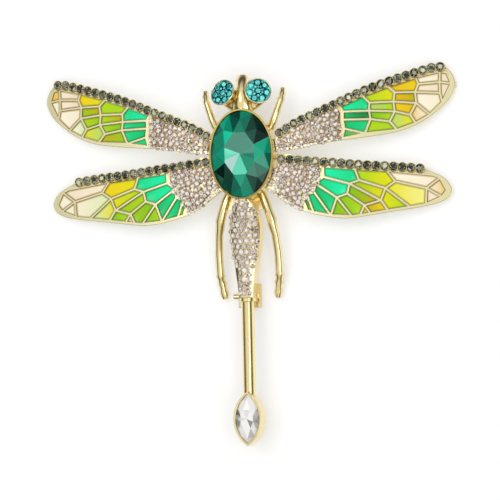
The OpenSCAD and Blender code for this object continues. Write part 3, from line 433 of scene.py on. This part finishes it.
def cutStone(cut):  # a stone of radius 1 with its girdle at height 0 and its table up
    bm = bmesh.new()
    half = Matrix.Rotation(math.pi / cut["sides"], 4, "Z")

    def ring(segments, radius, height, turned):
        place = Matrix.Translation((0, 0, height)) @ (half if turned else Matrix())
        bmesh.ops.create_circle(bm, segments=segments, radius=radius, matrix=place)

    ring(cut["sides"], cut["table"], cut["tableHeight"], True)
    if cut["star"]:
        ring(cut["sides"], cut["star"], cut["starHeight"], False)
    ring(2 * cut["sides"], 1, 0, False)
    ring(2 * cut["sides"], 1, -cut["girdle"], False)
    bm.verts.new((0, 0, -cut["keel"]))
    bmesh.ops.convex_hull(bm, input=bm.verts)
    joinFlats(bm, facetFlat)
    for face in bm.faces:
        face.material_index = 1 if face.normal.z < cut["foilFrom"] else 0
    mesh = bpy.data.meshes.new("cutStone")
    bm.to_mesh(mesh)
    bm.free()
    return mesh


templates = {name: cutStone(cut) for name, cut in cuts.items()}


def standOn(middle, facing):  # a place whose Z axis is the given direction
    return Matrix.Translation(middle) @ facing.to_track_quat("Z", "Y").to_matrix().to_4x4()


# Fields of stones: cut, glass, slot, how bright they are from 0 to 1, and how much the painted light on the
# facets of one differs
fields = {
    "edge": ["rich", "smoky", "smoky_stones", 0.18, 0.5],
    "eye": ["rich", "turquoise", "turquoise_glass", 0.58, 0.5],
    "eyeChips": ["small", "turquoise", "turquoise_glass", 0.58, 0.5],
    "abdomen": ["rich", "pale", "pale_stones", 0.7, 0.45],
    "abdomenChips": ["small", "pale", "pale_stones", 0.65, 0.45],
    "roots": ["small", "pale", "pale_stones", 0.76, 0.55],
}
handSet = {"lean": 0.1, "uneven": 0.2}  # how far a stone leans, in radians, and how its shade differs


def setStones(name, seats, fieldName, seed, stands=()):
    cutName, glassName, slotName, bright, spread = fields[fieldName]
    lean, uneven = handSet["lean"], handSet["uneven"]
    chance = random.Random(seed)
    bm = bmesh.new()
    shade = bm.loops.layers.float_color.new("stoneShade")
    for middle, facing, radius in seats:
        oldVerts, oldFaces = len(bm.verts), len(bm.faces)
        bm.from_mesh(templates[cutName])
        bm.verts.ensure_lookup_table()
        bm.faces.ensure_lookup_table()
        turn = Matrix.Rotation(chance.uniform(0, math.tau), 4, "Z")
        leanX = Matrix.Rotation(chance.uniform(-lean, lean), 4, "X")
        leanY = Matrix.Rotation(chance.uniform(-lean, lean), 4, "Y")
        own = bright + chance.uniform(-uneven, uneven)
        place = standOn(middle, facing) @ leanX @ leanY @ turn @ Matrix.Scale(radius, 4)
        bmesh.ops.transform(bm, matrix=place, verts=bm.verts[oldVerts:])
        # each facet gets painted light of its own, as if it caught the light
        for face in bm.faces[oldFaces:]:
            paintFace(face, shade, min(1, max(0, own + chance.gauss(0, spread))))
    return addPiece(bm, name, glass[glassName], stands)


def setBeads(name, places, radius):  # small round grains of metal that hold the stones
    bm = bmesh.new()
    for place in places:
        bmesh.ops.create_icosphere(bm, subdivisions=1, radius=radius, matrix=Matrix.Translation(place))
    for face in bm.faces:
        face.smooth = True
    return addPiece(bm, name, [gilt["beads"]])


# Painted light in the large stones, for eight directions from the right hand side round by the top: on the
# table, on the facets round it, and on the ones at the back. It is strongest in the middle and dimmer towards
# the rim
ovalLight = {
    "table": [0.30, 0.22, 0.25, 0.30, 0.95, 1.3, 1.1, 0.50],
    "crown": [0.60, 0.10, 0.34, 0.70, 0.46, 0.04, 0.40, 0.03],
    "back": [0.55, 0.35, 0.20, 0.35, 0.85, 1.0, 0.95, 0.80],
    "scatter": 0.12, "middle": 1.4, "dimmer": 0.8, "brightest": fullFlash, "foilFrom": -0.1, "seed": 3,
}
navetteLight = {
    "table": [0.95, 1.0, 0.8, 0.95, 0.6, 1.0, 1.0, 0.35],
    "crown": [0.5, 0.9, 0.8, 1.0, 0.35, 0.95, 1.0, 0.85],
    "back": [0.9, 1.0, 0.8, 1.0, 0.9, 0.7, 1.0, 0.8],
    "scatter": 0.2, "middle": 1.2, "dimmer": 0.25, "brightest": 1, "foilFrom": -0.1, "seed": 4,
}
tableLevel = 0.99  # a facet whose normal points up as far as this belongs to the table


def largeStone(name, nodeName, stones, light):
    chance = random.Random(light["seed"])
    low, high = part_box(nodeName)
    middle = (low + high) / 2
    bm = mergedCopy(nodeName)
    joinFlats(bm, facetFlat)
    shade = bm.loops.layers.float_color.new("stoneShade")
    directions = len(light["table"])
    for k in range(directions // 2):  # the facets at the back show through the table as rays of painted light
        angle = (k + 0.5) * math.tau / directions
        tables = [f for f in bm.faces if f.normal.z > tableLevel]
        around = set(v for f in tables for v in f.verts) | set(e for f in tables for e in f.edges)
        across = (math.cos(angle), math.sin(angle), 0)
        bmesh.ops.bisect_plane(bm, geom=tables + list(around), plane_co=middle, plane_no=across)
    for face in bm.faces:
        face.material_index = 1 if face.normal.z < light["foilFrom"] else 0
        away = face.calc_center_median() - middle
        angle = math.atan2(away.y * (high.x - low.x) / (high.y - low.y), away.x)
        part = "back" if face.material_index else "table" if face.normal.z > tableLevel else "crown"
        out = 2 * math.hypot(away.x / (high.x - low.x), away.y / (high.y - low.y))
        towards = round(angle / (math.tau / directions)) % directions
        level = light[part][towards] * (light["middle"] - light["dimmer"] * out)
        level += chance.gauss(0, light["scatter"])
        paintFace(face, shade, min(light["brightest"], max(0, level)))
    return addPiece(bm, name, glass[stones], [nodeName])


largeStone("ovalGlass", "oval_stone", "emerald", ovalLight)
largeStone("navetteGlass", "navette_stone", "clear", navetteLight)

edgeRows = {
    "upperLeftRow": ["upper_left_edge_stones", 11],
    "upperRightRow": ["upper_right_edge_stones", 12],
    "lowerLeftRow": ["lower_left_edge_stones", 13],
    "lowerRightRow": ["lower_right_edge_stones", 14],
}
prong = {"radius": 0.15, "across": 0.43, "height": 0.12}


def dressEdge(name, nodeName, seed):
    seats = seatsOf(nodeName)
    setStones(name, seats, "edge", seed, [nodeName])
    places = []
    for (a, facing, _), (b, _, _) in zip(seats, seats[1:]):
        across = facing.cross(b - a).normalized() * prong["across"] * mm
        for side in (1, -1):
            places.append((a + b) / 2 + across * side + facing * prong["height"] * mm)
    setBeads(name + "Prongs", places, prong["radius"] * mm)


for name, (nodeName, seed) in edgeRows.items():
    dressEdge(name, nodeName, seed)
print("edge rows ready")


def grainsBetween(seats, reach, lift):  # middles of the triangles of close neighbours
    places = []
    for i, (a, facing, _) in enumerate(seats):
        close = [s[0] for s in seats[i + 1:] if (s[0] - a).length < reach]
        for k, b in enumerate(close):
            for c in close[k + 1:]:
                if (b - c).length < reach:
                    places.append((a + b + c) / 3 + facing * lift)
    return places


# Beds that are paved, in millimetres: over the wing roots the stones lie at one height, on the abdomen
# they follow its round top. Of eight points round the edge of a stone, five have to be carried
paving = {
    "rootSizes": [0.38, 0.32, 0.25, 0.19, 0.14], "rootStart": 4, "rivetReach": 0.8,
    "abdomenSizes": [0.42, 0.32, 0.24, 0.17], "abdomenWindow": 0.9, "abdomenMargin": 0.8, "abdomenPast": 0.4,
    "abdomenSlope": 0.5, "tries": 2400, "girdleRise": 0.16, "dropFrom": 9, "within": 0.05,
    "edge": 0.8, "points": 8, "carried": 5, "flat": 0.14, "holeBelow": -1, "nothing": -9,
    # steps from the margin of a wing to its bed
    "besideBed": [(0, 0.8), (0, 1.6), (0.7, 0.7), (1.3, 1.3), (0.8, 0), (1.6, 0)],
}
crowding = 0.97  # of the sum of their radii: how near the middles of two stones may be


def dropOn(tree, x, y):  # place and normal of what lies under a point, seen from over everything
    return tree.ray_cast(Vector((x, y, paving["dropFrom"] * mm)), -up)[:2]


def liesFlat(tree, middle, facing, radius):  # nothing stands up under its edge, and most of it is carried
    level = 0
    for k in range(paving["points"]):
        angle = k * math.tau / paving["points"]
        spot = middle + Vector((math.cos(angle), math.sin(angle), 0)) * radius * paving["edge"]
        hit = dropOn(tree, spot.x, spot.y)[0]
        rise = paving["nothing"] if hit is None else (hit - middle).dot(facing) / mm + paving["girdleRise"]
        if rise > paving["flat"]:
            return False
        level += rise > -paving["flat"]
    return level >= paving["carried"]


# Ever smaller stones between the ones already set, each at a spot drawn by chance. With a tree, they also
# have to lie flat on what it holds
def scatter(seats, sizes, tries, seed, spot, tree=None):
    chance = random.Random(seed)
    added = []
    for size in sizes:
        radius = size * mm
        for _ in range(tries):
            found = spot(chance, radius)
            if found is None:
                continue
            middle, facing = found
            free = all((middle - s[0]).length > crowding * (radius + s[2]) for s in seats + added)
            if free and (tree is None or liesFlat(tree, middle, facing, radius)):
                added.append((middle, facing, radius))
    return added


# Round the set stones of an eye: smaller ones, down to crushed glass, over the whole cup
eyeFill = {"sizes": [0.30, 0.22, 0.16, 0.11], "tries": 700, "reach": 2.02, "rise": 0.15}
eyeRim = {"radius": 2.08, "wire": 0.11, "sides": 8, "steps": 40, "sharp": 60}


def dressEye(side, seed, chipSeed):
    seats = seatsOf(side + "_eye_stones")
    setStones(side + "EyeStones", seats, "eye", seed, [side + "_eye_stones"])
    centre, facing, _ = middleSeat(seats)
    acrossEye = facing.orthogonal().normalized()
    alongEye = facing.cross(acrossEye)

    def eyeSpot(chance, radius):
        angle = chance.uniform(0, math.tau)
        distance = (eyeFill["reach"] * mm - radius) * math.sqrt(chance.random())
        across = acrossEye * math.cos(angle) + alongEye * math.sin(angle)
        return centre + across * distance + facing * eyeFill["rise"] * mm, facing

    bm = bmesh.new()
    stand = standOn(centre + facing * eyeCup["lip"] * mm, facing)
    section = stand @ Matrix.Translation((eyeRim["radius"] * mm, 0, 0)) @ Matrix.Rotation(math.pi / 2, 4, "X")
    bmesh.ops.create_circle(bm, segments=eyeRim["sides"], radius=eyeRim["wire"] * mm, matrix=section)
    wire = list(bm.verts) + list(bm.edges)
    bmesh.ops.spin(bm, geom=wire, cent=stand.translation, axis=facing, angle=math.tau, steps=eyeRim["steps"])
    bmesh.ops.remove_doubles(bm, verts=bm.verts, dist=1e-6)
    bmesh.ops.recalc_face_normals(bm, faces=bm.faces)
    softenShading(bm, eyeRim["sharp"])
    addPiece(bm, side + "EyeRim", [gilt["wings"]])

    chips = scatter(seats, eyeFill["sizes"], eyeFill["tries"], seed, eyeSpot)
    print(side, "eye", len(chips), "chips")
    setStones(side + "EyeChips", chips, "eyeChips", chipSeed)


dressEye("left", seed=21, chipSeed=26)
dressEye("right", seed=22, chipSeed=27)

abdomenSeats = seatsOf("abdomen_stones")
setStones("abdomenStones", abdomenSeats, "abdomen", seed=31, stands=["abdomen_stones"])

abdomenGrain = {"reach": 1.3, "lift": 0.02, "radius": 0.12}
bodyTree = BVHTree.FromBMesh(mergedCopy("body_frame"))
abdomenLow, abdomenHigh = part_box("abdomen_stones")


def abdomenHalf(y):  # half of the width that the set stones take up there
    near = [s for s in abdomenSeats if abs(s[0].y - y) < paving["abdomenWindow"] * mm]
    return max([abs(s[0].x) for s in near], default=0)


def abdomenSpot(chance, radius):
    y = chance.uniform(abdomenLow.y - paving["abdomenPast"] * mm, abdomenHigh.y)
    wide = abdomenHalf(y) + paving["abdomenMargin"] * mm
    x = chance.uniform(-wide, wide)
    hit, normal = dropOn(bodyTree, x, y)
    if hit is None or normal.z < paving["abdomenSlope"]:
        return None
    return hit + normal * paving["girdleRise"] * mm, normal


abdomenFill = scatter(abdomenSeats, paving["abdomenSizes"], paving["tries"], seed=33, spot=abdomenSpot,
                      tree=bodyTree)
print("abdomen", len(abdomenFill), "more stones")
setStones("abdomenChips", abdomenFill, "abdomenChips", seed=34)
grains = grainsBetween(abdomenSeats, abdomenGrain["reach"] * mm, abdomenGrain["lift"] * mm)
setBeads("abdomenGrains", grains, abdomenGrain["radius"] * mm)
print("set stones ready")


def paveRoot(name, nodeName, side, seed):
    low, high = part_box(nodeName)
    bm = mergedCopy(nodeName)
    wingTree = BVHTree.FromBMesh(bm)
    bm.from_mesh(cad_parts["body_frame"].data)
    tree = BVHTree.FromBMesh(bm)
    bm.free()

    def riseAt(x, y):  # above the face of the wing
        hit = dropOn(wingTree, x, y)[0]
        return paving["nothing"] if hit is None else (hit.z - wingFace(x)) / mm

    def rootSpot(chance, radius):  # on the bed, or on the margin below it where that is wide enough
        x = side * chance.uniform(paving["rootStart"], wing["bedEnd"]) * mm
        y = chance.uniform(low.y, high.y)
        facing = Vector((x / mm / wing["archRadius"], 0, 1)).normalized()
        rise = riseAt(x, y)
        if abs(rise) < paving["within"] and radius > wing["marginStone"] * mm:
            beside = [riseAt(x + side * out * mm, y + ahead * mm) for out, ahead in paving["besideBed"]]
            if any(abs(r - wing["bedRise"]) < paving["within"] for r in beside):
                return Vector((x, y, wingFace(x))) + facing * paving["girdleRise"] * mm, facing
            return None
        if rise < paving["holeBelow"]:  # a rivet stands there if the bed carries on round it
            rise = min(riseAt(x, y + paving["rivetReach"] * mm), riseAt(x, y - paving["rivetReach"] * mm))
        if abs(rise - wing["bedRise"]) > paving["flat"]:
            return None
        return Vector((x, y, wingFace(x))) + facing * (wing["bedRise"] + paving["girdleRise"]) * mm, facing

    seats = scatter([], paving["rootSizes"], paving["tries"], seed, rootSpot, tree)
    print(nodeName, len(seats), "paving stones")
    setStones(name + "Stones", seats, "roots", seed)


paveRoot("upperLeftBed", "upper_left_wing", side=-1, seed=41)
paveRoot("upperRightBed", "upper_right_wing", side=1, seed=42)
paveRoot("lowerLeftBed", "lower_left_wing", side=-1, seed=43)
paveRoot("lowerRightBed", "lower_right_wing", side=1, seed=44)
print("paving ready")


glaze = {
    "teal": tone(5, 220, 134), "mint": tone(14, 246, 174), "deepTeal": tone(0, 194, 108),
    "forest": tone(0, 128, 50), "leaf": tone(132, 200, 0), "lime": tone(180, 220, 0),
    "moss": tone(162, 202, 0), "olive": tone(196, 180, 0), "paleLeaf": tone(184, 222, 110),
    "lemon": tone(236, 228, 0), "golden": tone(246, 212, 0), "amber": tone(236, 190, 5),
    "paleAmber": tone(238, 210, 130), "paleLemon": tone(250, 244, 140), "paleMint": tone(222, 240, 180),
    "cream": tone(252, 238, 210), "blush": tone(246, 228, 200), "ivory": tone(254, 248, 222),
}

# A glaze near the root and one near the tip for each panel, from the front edge of the wing to its back.
# The clear ones are counted from the root outwards
panels = {
    "upper_left_teal_enamel": ["mint teal", "deepTeal teal", "deepTeal teal", "teal deepTeal"],
    "upper_left_green_enamel": ["lime lime", "olive lime", "leaf lime", "moss olive"],
    "upper_left_yellow_enamel": ["lemon golden", "olive moss", "moss lime", "paleLeaf lemon"],
    "upper_left_clear_enamel": ["paleMint ivory", "paleAmber amber", "blush cream", "blush cream",
                                "ivory cream", "cream ivory"],
    "upper_right_teal_enamel": ["mint teal", "deepTeal forest", "deepTeal teal", "deepTeal leaf"],
    "upper_right_green_enamel": ["lime lemon", "paleLeaf lime", "leaf lime", "lime lime"],
    "upper_right_yellow_enamel": ["amber golden", "amber olive", "golden amber", "paleLeaf lemon"],
    "upper_right_clear_enamel": ["paleAmber cream", "blush blush", "ivory cream", "cream blush",
                                 "blush blush", "ivory cream"],
    "lower_left_teal_enamel": ["mint teal", "mint teal", "teal deepTeal", "deepTeal teal", "forest leaf"],
    "lower_left_green_enamel": ["lime moss", "leaf moss", "lime leaf", "lime leaf", "cream olive"],
    "lower_left_yellow_enamel": ["lemon golden", "lime lemon", "lemon paleMint"],
    "lower_left_clear_enamel": ["cream blush", "paleMint cream", "ivory cream", "cream ivory"],
    "lower_right_teal_enamel": ["mint teal", "teal mint", "deepTeal teal", "teal deepTeal", "forest leaf"],
    "lower_right_green_enamel": ["leaf olive", "leaf lime", "olive golden", "leaf moss", "olive golden"],
    "lower_right_yellow_enamel": ["lime lemon", "moss lemon", "lemon lime"],
    "lower_right_clear_enamel": ["ivory cream", "lemon paleLemon", "cream paleAmber", "blush cream"],
}

# Width of the pooled edge, which also carries painted shade along the veins, and the share of a narrow panel
# that it takes at most, how far the middle sinks,
panelForm = {"pooledShadedEdge": 0.24, "edgeShare": 0.3, "sink": 0.04, "faceLevel": 0.7, "column": 3.4,
             "sharp": 30}


def enamelMaterial(name, transmission, pooledAndShaded):  # the colour that it is multiplied by at the edge, for deeper glaze where it pools and painted shade along the veins
    material, tree, surface = newMaterial(name, IOR=1.33, Transmission_Weight=transmission,
                                          Coat_Weight=0.1, Coat_Roughness=0.04)
    flow = addGroup(tree, flowGroup, Pooling=0.9, Pooled=pooledAndShaded, Flow=450.0)
    tree.links.new(flow.outputs["Color"], surface.inputs["Base Color"])
    tree.links.new(flow.outputs["Roughness"], surface.inputs["Roughness"])
    addBump(tree, surface, flow.outputs["Height"], strength=0.25, distance=0.00008)
    return material


enamel = {
    "coloured": enamelMaterial("colouredEnamel", transmission=0.10, pooledAndShaded=(0.30, 0.36, 0.14, 1)),
    "clear": enamelMaterial("clearEnamel", transmission=0.08, pooledAndShaded=(0.52, 0.38, 0.18, 1)),
}


def pourEnamel(nodeName, pairs):
    bm = mergedCopy(nodeName)
    joinFlats(bm, wallFlat)
    near = bm.verts.layers.float_color.new("glazeNear")
    far = bm.verts.layers.float_color.new("glazeFar")
    sweep = bm.verts.layers.float.new("sweep")
    rim = bm.verts.layers.float.new("rim")
    for part in looseParts(bm):
        around = set(f for v in part for f in v.link_faces)
        top = [f for f in around if f.normal.z > panelForm["faceLevel"]]
        border = [e for e in set(e for f in top for e in f.edges) if sum(f in top for f in e.link_faces) == 1]
        wide = 2 * sum(f.calc_area() for f in top) / sum(e.calc_length() for e in border)
        edge = min(panelForm["pooledShadedEdge"] * mm, panelForm["edgeShare"] * wide)
        bmesh.ops.inset_region(bm, faces=top, thickness=edge, use_even_offset=True, use_boundary=True)
        for vert in set(v for f in top for v in f.verts):
            vert[rim] = 1
            vert.co.z -= panelForm["sink"] * mm
    parts = looseParts(bm)
    middles = [sum((v.co for v in part), Vector()) / len(part) for part in parts]
    column = panelForm["column"] * mm if "clear" in nodeName else 1
    order = sorted(range(len(parts)), key=lambda i: (round(abs(middles[i].x) / column), -middles[i].y))
    for rank, i in enumerate(order):
        nearName, farName = pairs[rank % len(pairs)].split()
        reach = [abs(v.co.x) for v in parts[i]]
        for vert in parts[i]:
            vert[near], vert[far] = glaze[nearName], glaze[farName]
            vert[sweep] = (abs(vert.co.x) - min(reach)) / (max(reach) - min(reach))
    softenShading(bm, panelForm["sharp"])
    words = nodeName.split("_")
    name = words[0] + words[1].capitalize() + words[2].capitalize() + "Panels"
    kind = "clear" if "clear" in nodeName else "coloured"
    return addPiece(bm, name, [enamel[kind]], [nodeName])


for nodeName, pairs in panels.items():
    pourEnamel(nodeName, pairs)
print("enamel ready")


studio = {
    "floor": (0.56, 0.56, 0.56, 1),
    "floorLight": 0.42,  # the paper glows a little, so that the shadows on it stay pale
    "floorReach": 1.5,
    "backdrop": (0.95, 0.95, 0.95, 1),  # what the camera sees past the floor
    # height above the horizon, up to 1 straight overhead, and light
    "sky": [(0.0, 0.40), (0.18, 0.45), (0.30, 0.06), (0.50, 0.08), (0.64, 0.40), (0.80, 0.80), (1.0, 0.80)],
    "skyBlue": 0.99,  # how much of that light is blue, as against red and green
    "boxes": [  # name, place, what it points at, size, power
        ["keyBox", (-0.12, 0.139, 0.46), (-0.12, 0.139, 0), (0.20, 0.16), 0.22],
        ["fillBox", (0.30, -0.10, 0.38), (0, 0.01, 0), (0.20, 0.30), 0.30],
        ["topFill", (0.0, 0.0, 0.9), (0, 0, 0), (1.6, 1.6), 6.6],
    ],
}


def makeFloor():
    bm = bmesh.new()
    bmesh.ops.create_grid(bm, x_segments=1, y_segments=1, size=studio["floorReach"])
    mesh = bpy.data.meshes.new("floor")
    bm.to_mesh(mesh)
    bm.free()
    floor = bpy.data.objects.new("floor", mesh)
    bpy.context.scene.collection.objects.link(floor)
    material, tree, surface = newMaterial("floorPaint", Base_Color=studio["floor"], Roughness=0.9,
                                          Emission_Strength=studio["floorLight"])
    surface.inputs["Specular IOR Level"].default_value = 0.1
    mesh.materials.append(material)


def makeSky():
    world = bpy.data.worlds.new("studioSky")
    bpy.context.scene.world = world
    world.use_nodes = True
    tree = world.node_tree
    background = tree.nodes["Background"]
    place = addNode(tree, "ShaderNodeTexCoord")
    parts = addNode(tree, "ShaderNodeSeparateXYZ")
    ramp = addNode(tree, "ShaderNodeValToRGB")
    path = addNode(tree, "ShaderNodeLightPath")
    seen = addNode(tree, "ShaderNodeMix", {"data_type": "RGBA"}, {"B": studio["backdrop"]})
    stops = ramp.color_ramp.elements
    while len(stops) < len(studio["sky"]):
        stops.new(0.5)
    for stop, (height, bright) in zip(stops, studio["sky"]):
        stop.position = height
        stop.color = (bright, bright, bright * studio["skyBlue"], 1)
    tree.links.new(place.outputs["Generated"], parts.inputs["Vector"])
    tree.links.new(parts.outputs["Z"], ramp.inputs["Fac"])
    tree.links.new(ramp.outputs["Color"], seen.inputs["A"])
    tree.links.new(path.outputs["Is Camera Ray"], seen.inputs["Factor"])
    tree.links.new(seen.outputs["Result"], background.inputs["Color"])
    background.inputs["Strength"].default_value = 1.0


def makeBoxes():
    for name, place, target, size, power in studio["boxes"]:
        lamp = bpy.data.lights.new(name, "AREA")
        lamp.shape = "RECTANGLE"
        lamp.size, lamp.size_y = size
        lamp.energy = power
        box = bpy.data.objects.new(name, lamp)
        bpy.context.scene.collection.objects.link(box)
        aim = (Vector(target) - Vector(place)).to_track_quat("-Z", "Y")
        box.matrix_world = Matrix.Translation(place) @ aim.to_matrix().to_4x4()
        if name == "topFill":
            box.visible_glossy = False


# The camera stands where the photograph was taken from, and looks a little below the stone
shot = {"target": (0, 16.39, 4.64), "distance": 480, "yaw": 14, "pitch": 5.2, "roll": 1.15, "lens": 216,
        "sensor": 36, "nearest": 0.01, "farthest": 10, "aimRight": 0.00217, "aimDown": 0.03173}


def makeCamera():
    lens = bpy.data.cameras.new("shotCamera")
    lens.lens = shot["lens"]
    lens.sensor_width = shot["sensor"]
    lens.clip_start, lens.clip_end = shot["nearest"], shot["farthest"]
    camera = bpy.data.objects.new("shotCamera", lens)
    bpy.context.scene.collection.objects.link(camera)
    aimAside = Matrix.Rotation(-math.atan(shot["aimRight"]), 4, "Y")
    aimDown = Matrix.Rotation(-math.atan(shot["aimDown"]), 4, "X")
    camera.matrix_world = (
        Matrix.Translation(Vector(shot["target"]) * mm)
        @ Matrix.Rotation(math.radians(shot["yaw"]), 4, "Y")
        @ Matrix.Rotation(math.radians(shot["pitch"]), 4, "X")
        @ Matrix.Rotation(math.radians(-shot["roll"]), 4, "Z")
        @ Matrix.Translation((0, 0, shot["distance"] * mm))
        @ aimAside @ aimDown)
    bpy.context.scene.camera = camera


makeFloor()
makeSky()
makeBoxes()
makeCamera()
bpy.context.scene.view_settings.view_transform = "Standard"
print("studio ready")
